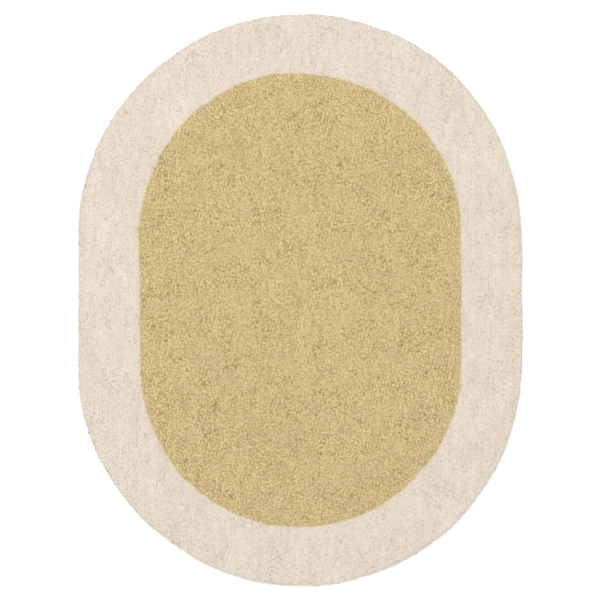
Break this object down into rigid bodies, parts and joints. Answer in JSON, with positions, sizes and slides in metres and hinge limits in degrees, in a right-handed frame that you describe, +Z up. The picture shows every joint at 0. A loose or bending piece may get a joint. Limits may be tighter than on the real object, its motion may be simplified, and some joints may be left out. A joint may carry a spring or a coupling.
{
  "type": "oval kids rug",
  "caption": "Flat oval tufted rug for a child's room: a field of short dense pile inside a wide pile border of another colour, on a woven ground cloth that lies on the floor.",
  "frame": {"origin": "middle of the underside, on the floor", "axes": "+X across the rug, +Y along its length, +Z up out of the pile"},
  "size_m": [1.4002, 1.8012, 0.0189],
  "materials": {
    "ground_cloth": "undyed woven cotton, matt",
    "border_pile": "short dense tufted pile of cream yarn, matt",
    "centre_pile": "short dense nubby tufted pile of ochre yarn, matt"
  },
  "bodies": {
    "root": {"ground_cloth": "ground_cloth", "border_pile": "border_pile", "centre_pile": "centre_pile"}
  },
  "joints": []
}
